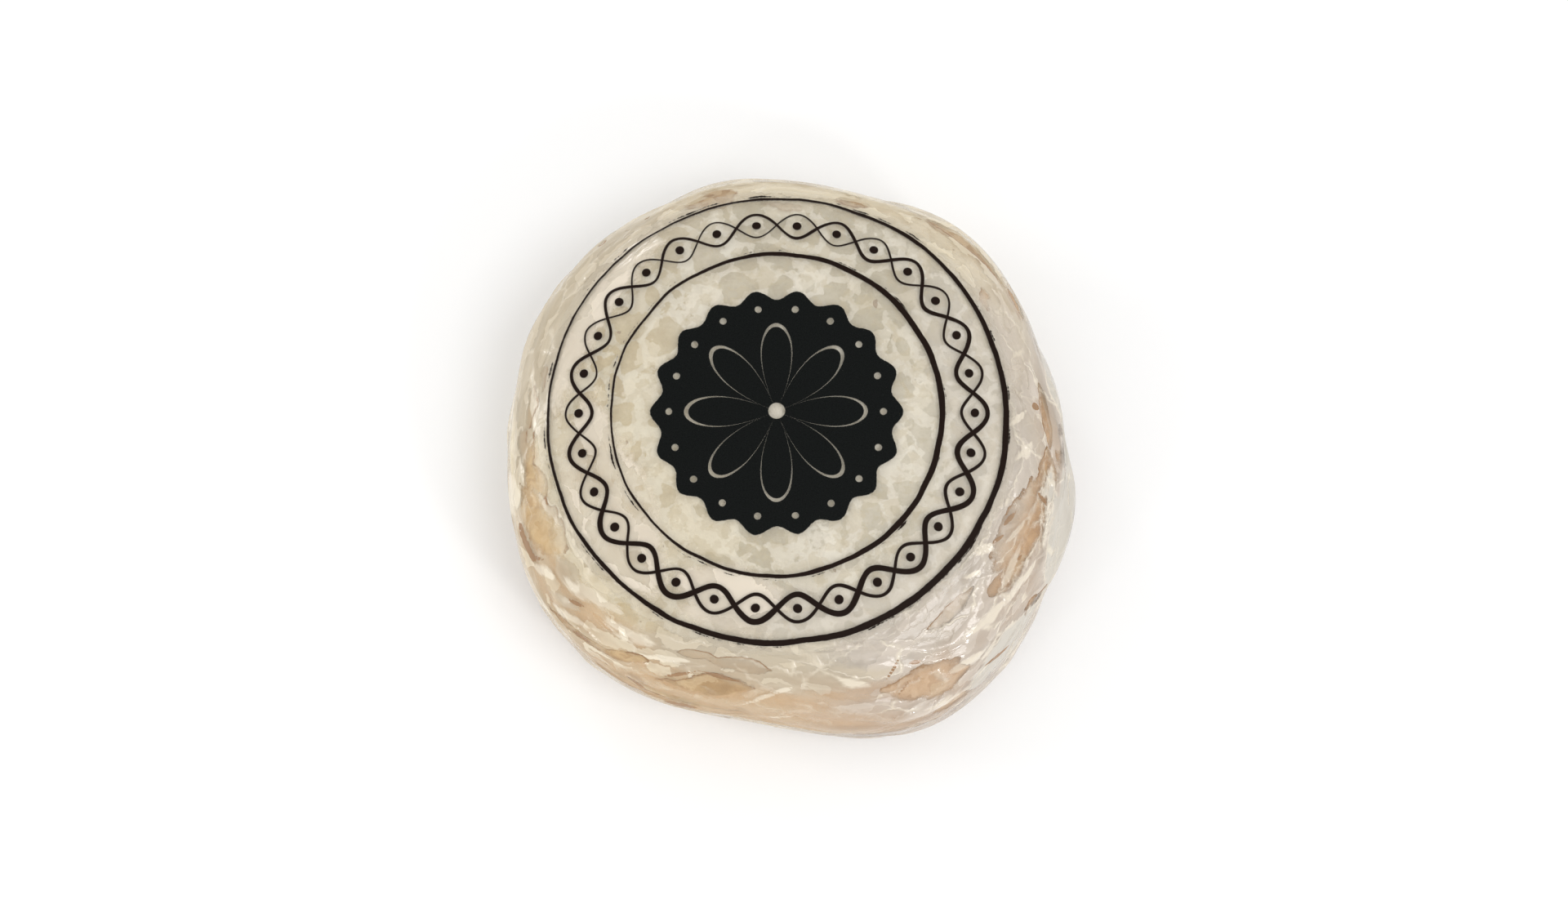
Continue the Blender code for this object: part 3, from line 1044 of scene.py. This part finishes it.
# milky double layers; the grey tint outside the label is painted shade, on the upper left rim and
# the front
SHEETS_AND_SHADE = (
    (150, 44, 15, 10, 0.05),
    (-147, 6, 17, 3, 0),
    (-95, 34, 18.5, 5, 0),
    (-155, 36, 28.5, 9, 0),
    (-108, 22, 30, 7, 0),
    (-143, 5, 13.6, 1.6, -0.3),
)
LOBES = (
    (-13, 21, 2.5, 11, 0),
    (-42, 14, 4, 6, 0.15),
    (14, 18, 4, 7, 0),
)
SNUG = ((-96, 45, 4.5, 11, 0),)
MARKS = {"line": SHADOW_LINES, "stroke": STROKES, "sheet_and_shade": SHEETS_AND_SHADE, "lobe": LOBES, "snug": SNUG}
for name, patches in MARKS.items():
    mark = patch_field(patches, azimuth, drop)
    add_field(film, name, mark)
    print(name, "covers", round((mark > 0).mean() * 100, 1), "% of the film's points")

# %% Fields of the film
FULL_FOLD = 0.9 * MM
FULL_CREASE = 0.3 * MM
RIM_FADE = 5 * MM
MILKY_AZIMUTH = math.radians(-24)  # the film is milkiest towards this side


def uncovered(points):
    """0 under the label, rising to 1 over the last 5 mm before its rim."""
    return soft_step(from_label(points), LABEL_RADIUS - RIM_FADE, LABEL_RADIUS)


open_film = np.maximum(free, uncovered(smooth))
milky_side = soft_step(np.cos(azimuth - MILKY_AZIMUTH), 0.25, 0.85)
add_field(film, "wrapped", wrapped)
add_field(film, "free", open_film)
add_field(film, "window", window)
add_field(film, "upper_edge", upper_shore(azimuth, drop))
add_field(film, "fold", np.clip(folds / FULL_FOLD, 0, 1))
add_field(film, "crease", np.clip(creases / FULL_CREASE, 0, 1))
add_field(film, "crowd", milky_side * open_film)
print("the label covers", round((open_film < 0.5).mean() * 100), "% of the film's points")

# %% [markdown]
# ## How film hides and shows
#
# Where film touches the moist rind it all but vanishes. Where a breath of air lies between, it
# turns milky, because both its faces scatter light. So the finish is mainly an opacity, drawn
# out along the wrap. The wrap coordinates hold the way round in x and y and the way down in z,
# so noise that is squashed in x and y gives streaks that follow the pull of the film, with no
# seam. A film has two faces to reflect with, so its index of refraction is set higher than one
# face's.

# %% Streaks along the pull
wrap = Finish("film", Roughness=0.13, IOR=1.7)
way = wrap.field("wrapped", "Vector")
crowd = wrap.field("crowd")
free_share = wrap.field("free")
below = toward(way, (0.0, 0.0, 1.0))
along_pull = stretch(way, (0.22, 0.22, 1.0))
ragged = noise(stretch(way, (0.6, 0.6, 1.0)), 520, 4, 0.6) - 0.5
haze = noise(along_pull, 130, 3, 0.55, 0.6)
streaks = noise(along_pull, 380, 2, 0.5, 0.8)
fibres = noise(along_pull, 900, 2)
wrap.report()

# %% [markdown]
# Windows are clear, with torn shores. Along an upper shore runs a painted shadow, a thin brown
# line with a little painted shade under it, and the listed shadow lines join them.

# %% Clear windows and painted shadow lines
inside = wrap.field("window") + ragged
upper = wrap.field("upper_edge")
clinging = ramp(inside / (0.7 - 0.6 * upper), -0.05, 0.35)
# painted shadow: a thin dark line along each window's upper shore, and a band of shade under it
shore_shadow_line = ramp(inside, 0.0, 0.05) * ramp(inside, 0.3, 0.1) * upper
shore_shadow_line = shore_shadow_line * ramp(noise(way, 130, 1), 0.45, 0.55)
edge_shade = ramp(inside, 0.0, 0.08) * ramp(inside, 0.5, 0.1) * upper
shadow_line = ramp(wrap.field("line") + 1.3 * ragged, 0.15, 0.5)
painted_shadow = either(0.6 * shore_shadow_line, 0.25 * edge_shade, 0.6 * shadow_line)
wrap.report()

# %% [markdown]
# Crumpled film breaks up into facets, each a little more or less milky than the next, which also
# paints the light and shade that tilted facets would catch. The ridges between them are painted
# highlights, pale strands. Where it is gathered there is a second net of smaller ones. Flaps are
# laps of film: their milkiness rises slowly and stops at an edge, which is what the fraction of a
# smooth noise does.

# %% Facets, strands and flaps
FACETS = 230  # cells to a metre, from top to base
SMALL_FACETS = 560
crumpled = stretch(bend(way, 190, 0.004), (0.33, 0.33, 1.0))
# painted light and shade: each facet's own share of milkiness, partly real haze
facet = shade(crumpled, FACETS)
small_facet = shade(crumpled, SMALL_FACETS)
# painted highlights: pale strands along the borders of the facets
strands = ramp(border(crumpled, FACETS), 0.07, 0.0) * ramp(streaks, 0.4, 0.55)
small_strands = ramp(border(crumpled, SMALL_FACETS), 0.09, 0.0) * ramp(haze, 0.4, 0.6)
strands = strands * (0.4 + 0.3 * crowd) + 0.3 * crowd * small_strands
laps = noise(stretch(way, LONG_CELLS), 150, 2, 0.5, 0.7) * 3
flap = maths("FRACT", laps)
wrap.report()

# %% [markdown]
# The milkiness is a sum: haze, streaks, flaps, facets and small bright dashes, more of all on
# the crowded side. The snug part and the windows take most of it away, and the strands, the
# creases and the folds add theirs at the end.

# %% Milkiness


def torn_patch(name, tear, drift):
    """A stored patch with its shore torn by fine noise and shifted by the haze."""
    return wrap.field(name) + tear * ragged + drift * (haze - 0.5)


milky = 0.02 + 0.14 * ramp(haze, 0.35, 0.65) + 0.1 * ramp(streaks, 0.42, 0.62)
# bright dashes on some small facets: partly milky film, partly painted light on the crumple
dash = ramp(small_facet, 0.7, 0.74) * (0.12 + 0.45 * haze) * (1 - 0.5 * crowd)
dash = dash * (0.35 + 0.65 * ramp(below, 0.0, -0.009))
milky = milky + 0.16 * flap + dash + 0.2 * facet * (0.5 + 0.5 * crowd) + 0.12 * crowd
milky = milky * (1 - 0.85 * ramp(torn_patch("snug", 0.5, 1.3), 0.0, 0.4))
milky = milky * (1 - 0.9 * clinging)
raised = 0.28 * wrap.field("crease") + 0.14 * wrap.field("fold")
milky = milky + 0.2 * strands * (1 + clinging) + raised * (1 - 0.6 * clinging)
# cream strokes, which at the lower right are painted highlights along folds
cream = wrap.field("stroke") + 0.9 * ragged + 1.6 * (streaks - 0.5) + 1.4 * (fibres - 0.5)
cream = ramp(cream, -0.05, 0.55)
# sheets: milky double layers, and outside the label grey painted shade
sheet_and_shade = ramp(torn_patch("sheet_and_shade", 0.6, 1.4), -0.05, 0.3)
milky = milky + 0.36 * cream + 0.34 * sheet_and_shade
wrap.report()

# %% [markdown]
# The lobes stand off the cheese, so they are milky whatever lies below, with a bright rim. Seen
# edge on, any film is less clear. Under the label only faint strands, laps and sheets are left.

# %% Lobes and opacity
MOST_OPAQUE = 0.92
lobe_inside = torn_patch("lobe", 0.5, 1.3)
lobe = ramp(lobe_inside, -0.02, 0.12) * ramp(below, 0.006, -0.004)
lobe_rim = ramp(lobe_inside, -0.04, 0.01) * ramp(lobe_inside, 0.12, 0.04)
lobe_rim = lobe_rim * ramp(haze, 0.4, 0.55)
edge_on = wrap.node("ShaderNodeLayerWeight", {}, {"Blend": 0.3}, "Facing")
opacity = milky * (1 - lobe) + lobe * (0.45 + 0.55 * haze + 0.15 * flap) + 0.18 * edge_on
opacity = opacity + 0.25 * lobe_rim
covered = 0.2 * strands + 0.08 * flap + sheet_and_shade * (0.2 + 0.6 * facet)
opacity = 0.05 + free_share * opacity + covered * (1 - free_share)
# the painted shadow lines and shade are nearly opaque
opacity = opacity + 0.9 * painted_shadow
opacity = maths("MINIMUM", opacity, MOST_OPAQUE)
wrap.report()

# %% [markdown]
# Milky film isn't white. It takes the warmth of the rind, greyer on the crowded side. Sheets
# under the label are the palest, and the grey sheets outside it are painted shade. Strands are
# pale, painted highlights on the ridges, strokes are cream and at the lower right painted
# highlights, and the painted shadow lines are brown. The small creases, strands and streaks also
# tilt the normal, which breaks the gloss into glints.

# %% Tint and relief of the film
RELIEF_HEIGHT = 0.5 * MM
greyer = ramp(crowd + 0.8 * (haze - 0.5), 0.0, 0.8)
tint = blend(greyer, shown(234, 221, 193), shown(212, 200, 186))
# pale under the label, grey painted shade outside it
sheet_and_shade_tint = blend(free_share, shown(252, 240, 224), shown(203, 189, 165))
tint = blend(0.8 * sheet_and_shade, tint, sheet_and_shade_tint)
tint = blend(0.9 * lobe, tint, shown(207, 201, 189))
# pale cream: strands as painted highlights on ridges, lobe rims, and strokes, painted highlights
# at the lower right
pale = either(strands, 0.6 * lobe_rim, 0.7 * cream)
tint = blend(pale, tint, shown(240, 229, 208))
# painted shadow: brown lines and shade along shores, folds and the base
tint = blend(ramp(painted_shadow, 0.0, 0.4), tint, shown(158, 123, 88))
ridge = 0.6 * wrap.field("crease") + 0.3 * flap + 0.3 * streaks
ridge = ridge + 0.5 * haze - 0.4 * clinging + 0.4 * strands
wrap.feed(Base_Color=tint, Alpha=opacity, Normal=relief(ridge, RELIEF_HEIGHT))
wrap.report()
film.data.materials.append(wrap.material)
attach(film, "root")
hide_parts("wrapped_cheese")

# %% [markdown]
# ## The label
#
# The label is a flat disc of thin translucent stock, stuck down over the top and a little over
# the shoulder. Paper doesn't stretch, so a point keeps its distance from the label's middle,
# measured over the surface. For each direction, a spoke is marched outwards over the wheel, its
# length added up, and each ring of the label is put where that length equals its own radius.

# %% Rings over the top
LABEL_SPOKES = 420
MARCH_STEPS = 300
LEVEL_ROUNDS = 30
SLOPE_STEP = 0.1 * MM


def top_level(x, y):
    """The height of the smooth top over a point, solved in steps because the top leans."""
    level = np.full_like(x, HEIGHT)
    for _ in range(LEVEL_ROUNDS):
        slip = level / HEIGHT - 0.5
        a = x - LEAN[0] * slip
        b = y - LEAN[1] * slip
        share = np.clip(np.hypot(a, b) / outline_radius(np.arctan2(b, a)), 0, 1)
        rise = (1 - share**TOP_SQUARENESS) ** (1 / TOP_SQUARENESS)
        level = (level + WIDEST_LEVEL + (HEIGHT - WIDEST_LEVEL) * rise) / 2
    return level


def top_normal(x, y):
    """Straight up, tilted back by the slope of the top in x and in y."""
    slope_x = top_level(x + SLOPE_STEP, y) - top_level(x - SLOPE_STEP, y)
    slope_y = top_level(x, y + SLOPE_STEP) - top_level(x, y - SLOPE_STEP)
    slope_x = slope_x / (2 * SLOPE_STEP)
    slope_y = slope_y / (2 * SLOPE_STEP)
    normal = np.stack([-slope_x, -slope_y, np.ones_like(x)], axis=-1)
    return normal / np.linalg.norm(normal, axis=-1, keepdims=True)


def draped_spokes(radii):
    """Label points by ring and spoke: the place on the spoke where the way over the surface,
    a sum of short slanting steps, equals the ring's radius. With their places laid flat."""
    bearing = np.linspace(-math.pi, math.pi, LABEL_SPOKES, endpoint=False)
    ahead = np.stack([np.cos(bearing), np.sin(bearing)], axis=-1)
    out = np.linspace(0, LABEL_RADIUS, MARCH_STEPS)
    x = LABEL_CENTRE[0] + ahead[:, :1] * out
    y = LABEL_CENTRE[1] + ahead[:, 1:] * out
    steps = np.hypot(np.diff(out), np.diff(top_level(x, y), axis=1))
    walked = np.pad(np.cumsum(steps, axis=1), ((0, 0), (1, 0)))
    reach = np.array([np.interp(radii, spoke, out) for spoke in walked]).T
    x = LABEL_CENTRE[0] + ahead[:, 0] * reach
    y = LABEL_CENTRE[1] + ahead[:, 1] * reach
    return x, y, radii[:, None, None] * ahead


# %% Form of the label
LABEL_RINGS = 92
LABEL_LIFT = 0.28 * MM
LABEL_THICKNESS = 0.12 * MM
WRINKLE_HEIGHT = 0.1 * MM
WRINKLE_SIZE = 9 * MM
WRINKLE_SEED = 71
x, y, flat = draped_spokes(np.linspace(0, LABEL_RADIUS, LABEL_RINGS))
on_top = np.stack([x, y, top_level(x, y)], axis=-1)
outward = top_normal(x, y)
wrinkle = WRINKLE_HEIGHT * (layered_noise(on_top, WRINKLE_SIZE, WRINKLE_SEED) - 0.5)
under = on_top + (LABEL_LIFT + wrinkle)[..., None] * outward + MIDDLE
over = under + LABEL_THICKNESS * outward
label = shut_skin("printed_label", np.concatenate([over, under[::-1]]))
flat_place = np.pad(flat / MM, ((0, 0), (0, 0), (0, 1)))
add_field(label, "flat", np.concatenate([flat_place, flat_place[::-1]]))
fallen = (on_top[0, 0, 2] - on_top[-1, :, 2]) / MM
print("its rim lies", fallen.min().round(1), "to", fallen.max().round(1), "mm below its middle")

# %% [markdown]
# ## The print
#
# The label carries black rings of an uneven brush line and an ornament. Printed matter is
# usually a picture file, but circles, dots and petals are short formulas of the distance from
# the middle and the bearing, and a formula stays sharp at any size. The stored flat coordinates
# are in millimetres from the label's middle, so every number here is a real size on the label.

# %% Distance and bearing on the label
paper = Finish("label", Roughness=0.5, Specular_IOR_Level=0.08)
spot = paper.field("flat", "Vector")
flat_x = paper.node("ShaderNodeSeparateXYZ", {}, (spot,), "X")
flat_y = paper.node("ShaderNodeSeparateXYZ", {}, (spot,), "Y")
wobble = noise(spot, 0.09, 2) - 0.5
radius = (flat_x * flat_x + flat_y * flat_y) ** 0.5 + 1.1 * wobble
bearing = maths("ARCTAN2", flat_y, flat_x)
bristle = noise(spot, 1.4, 3, 0.6) - 0.5
pressure = noise(spot, 0.16, 2) - 0.5


def cosine(value):
    return maths("COSINE", value)


def inked(distance, half_width):
    """1 where a distance in millimetres is under half the line's width, with a soft hair."""
    return ramp(distance - half_width, 0.07, -0.07)


paper.report()

# %% [markdown]
# A brush line is a distance from a circle, compared with a width that swells to one side and
# trembles with noise. Beside it runs a second, dry stroke that comes and goes.

# %% Brush rings
OUTER_RING = 42.4
INNER_RING = 30.4
BESIDE = 0.72  # how far outside a ring its dry stroke runs, mm


def brush_ring(ring_radius, half_width, thickest):
    """A ring drawn with a brush: one stroke that swells to one side, and a thinner, dry stroke
    beside it that comes and goes with the pressure."""
    swell = half_width * (1 + 0.5 * cosine(bearing - math.radians(thickest)))
    wet = inked(abs(radius - ring_radius), swell + 0.5 * half_width * pressure + 0.14 * bristle)
    beside = ring_radius + BESIDE - 0.6 * wobble
    dry = inked(abs(radius - beside), 1.3 * (pressure - 0.04) + 0.6 * bristle)
    return either(wet, dry)


rings = either(brush_ring(OUTER_RING, 0.42, -40), brush_ring(INNER_RING, 0.4, 5))
paper.report()

# %% [markdown]
# Between the rings run two waves that cross, with a dot in each gap. A wave's distance is
# divided by the length of its slope, or its line would be thin where it is steep.

# %% Waves and dots
MIDDLE_RING = (OUTER_RING + INNER_RING) / 2
WAVES = 15
WAVE_RISE = 2.5
BAND_DOT = 0.85


def wave_stroke(sign, half_width):
    """A wave round the band, its distance measured square to its slope."""
    turning = cosine(bearing * WAVES)
    slope = (1 - turning * turning) * (WAVE_RISE * WAVES / MIDDLE_RING) ** 2
    off = abs(radius - MIDDLE_RING - sign * WAVE_RISE * turning) / (1 + slope) ** 0.5
    return inked(off, half_width)


def dots(count, ring_radius, dot_radius):
    """A ring of dots: the bearing is folded into one sector, then a distance to its middle."""
    sector = math.tau / count
    turn = bearing / sector + (count + 0.5)
    part = maths("FRACT", turn) - 0.5
    sideways = part * sector * radius
    outwards = radius - ring_radius
    return inked((sideways * sideways + outwards * outwards) ** 0.5, dot_radius)


weight = 0.42 + 0.14 * cosine(bearing + 1.2) + 0.25 * pressure
band = either(wave_stroke(1, weight), wave_stroke(-1, weight * 0.6))
band = either(band, dots(WAVES * 2, MIDDLE_RING, BAND_DOT))
paper.report()

# %% [markdown]
# The rosette in the middle is a black disc with a scalloped rim. Petals, a ring of dots and the
# middle are left out of the ink, as they are in a cut stamp.

# %% Rosette
MEDAL_RADIUS = 22.3
SCALLOPS = 18
SCALLOP_RISE = 0.9
PETAL_LENGTH = 16.5
scallops = MEDAL_RADIUS + SCALLOP_RISE * cosine(bearing * SCALLOPS) + 0.3 * bristle
petals = PETAL_LENGTH * abs(cosine(bearing * 4)) ** 0.6
carved = either(
    inked(abs(radius - petals), 0.34 + 0.3 * pressure),
    dots(SCALLOPS, MEDAL_RADIUS - 2.6, 0.62),
    inked(radius, 1.5),
)
medal = inked(radius, scallops) * (1 - carved)
paper.report()

# %% [markdown]
# Ink hides the stock, so it also sets the opacity. The large black field is a cold black with a
# fine grain, and the thin lines are a warm one, as on a print that has met some moisture.

# %% Ink and stock
STOCK_OPACITY = 0.09  # of each of its two faces
INK_OPACITY = 0.97
cover = either(rings, band, medal)
ink_grain = noise(spot, 2.4, 2, 0.7)
medal_colour = blend(ink_grain, shown(4, 6, 5), shown(18, 21, 20))
ink_colour = blend(medal, shown(27, 15, 9), medal_colour)
label_colour = blend(cover, shown(221, 214, 198), ink_colour)
label_opacity = cover * (INK_OPACITY - STOCK_OPACITY) + STOCK_OPACITY
paper.feed(Base_Color=label_colour, Alpha=label_opacity)
paper.report()
label.data.materials.append(paper.material)
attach(label, "root")
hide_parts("label")

# %% [markdown]
# ## The floor
#
# The cheese lies on a plain pale floor, one large square a hair below it, matt so that it shows
# only a soft shadow.

# %% Floor
FLOOR = 3.0
FLOOR_LEVEL = -0.02 * MM
corners = [(x * FLOOR, y * FLOOR, FLOOR_LEVEL) for x, y in ((-1, -1), (1, -1), (1, 1), (-1, 1))]
floor_mesh = bpy.data.meshes.new("floor")
floor_mesh.from_pydata(corners, [], [(0, 1, 2, 3)])
floor = bpy.data.objects.new("floor", floor_mesh)
bpy.context.scene.collection.objects.link(floor)
floor_finish = Finish("floor", Roughness=0.8, Base_Color=(0.95, 0.95, 0.95, 1))
floor_mesh.materials.append(floor_finish.material)
print("floor of", 2 * FLOOR, "m a side")

# %% [markdown]
# ## The light
#
# A white world and one large panel overhead give the soft light of a studio. Gloss needs more
# than that: film is known by its glints, and a glint is the reflection of something small and
# bright. So four smaller lights stand low round the cheese, on all its sides.

# %% Light
WORLD_STRENGTH = 0.79
LAMPS = (
    # name, azimuth and elevation in degrees, distance and width in metres, power in watts
    ("sky_panel", -35, 62, 1.2, 0.5, 3.3),
    ("window", -48, 36, 0.9, 0.1, 0.9),
    ("side_panel", 170, 28, 1.0, 0.3, 1.2),
    ("back_window", 120, 30, 0.9, 0.1, 0.3),
    ("left_window", 225, 34, 0.9, 0.1, 0.3),
)


def add_light(name, azimuth, elevation, distance, width, power):
    """A square soft light that looks at the middle of the cheese from a direction."""
    turn = math.radians(azimuth)
    rise = math.radians(elevation)
    level = math.cos(rise)
    direction = Vector((math.cos(turn) * level, math.sin(turn) * level, math.sin(rise)))
    lamp = bpy.data.lights.new(name, "AREA")
    lamp.size = width
    lamp.energy = power
    made = bpy.data.objects.new(name, lamp)
    made.location = direction * distance + Vector((0, 0, HEIGHT / 2))
    made.rotation_mode = "QUATERNION"
    made.rotation_quaternion = direction.to_track_quat("Z", "Y")
    bpy.context.scene.collection.objects.link(made)


world = bpy.data.worlds.new("studio")
world.use_nodes = True
background = world.node_tree.nodes["Background"]
background.inputs["Color"].default_value = (1, 1, 1, 1)
background.inputs["Strength"].default_value = WORLD_STRENGTH
bpy.context.scene.world = world
for lamp in LAMPS:
    add_light(*lamp)
print(len(LAMPS), "lights")

# %% [markdown]
# ## The camera
#
# The camera looks down at the front of the cheese from about 40 cm, steeply enough that the
# whole label shows and the near side only just, as in the photograph.

# %% Camera
CAMERA_RISE = math.radians(77.63)
CAMERA_DISTANCE = 415 * MM
AIM = Vector((-1.43 * MM, -0.11 * MM, HEIGHT / 2))
away = Vector((0, -math.cos(CAMERA_RISE), math.sin(CAMERA_RISE)))
camera_data = bpy.data.cameras.new("camera")
camera_data.lens = 50
camera_data.sensor_width = 36
camera_data.clip_start = 0.01
camera = bpy.data.objects.new("camera", camera_data)
camera.location = AIM + away * CAMERA_DISTANCE
camera.rotation_mode = "QUATERNION"
camera.rotation_quaternion = away.to_track_quat("Z", "Y")
bpy.context.scene.collection.objects.link(camera)
bpy.context.scene.camera = camera
bpy.context.scene.view_settings.view_transform = "Standard"
print("camera at, mm:", [round(v / MM) for v in camera.location])
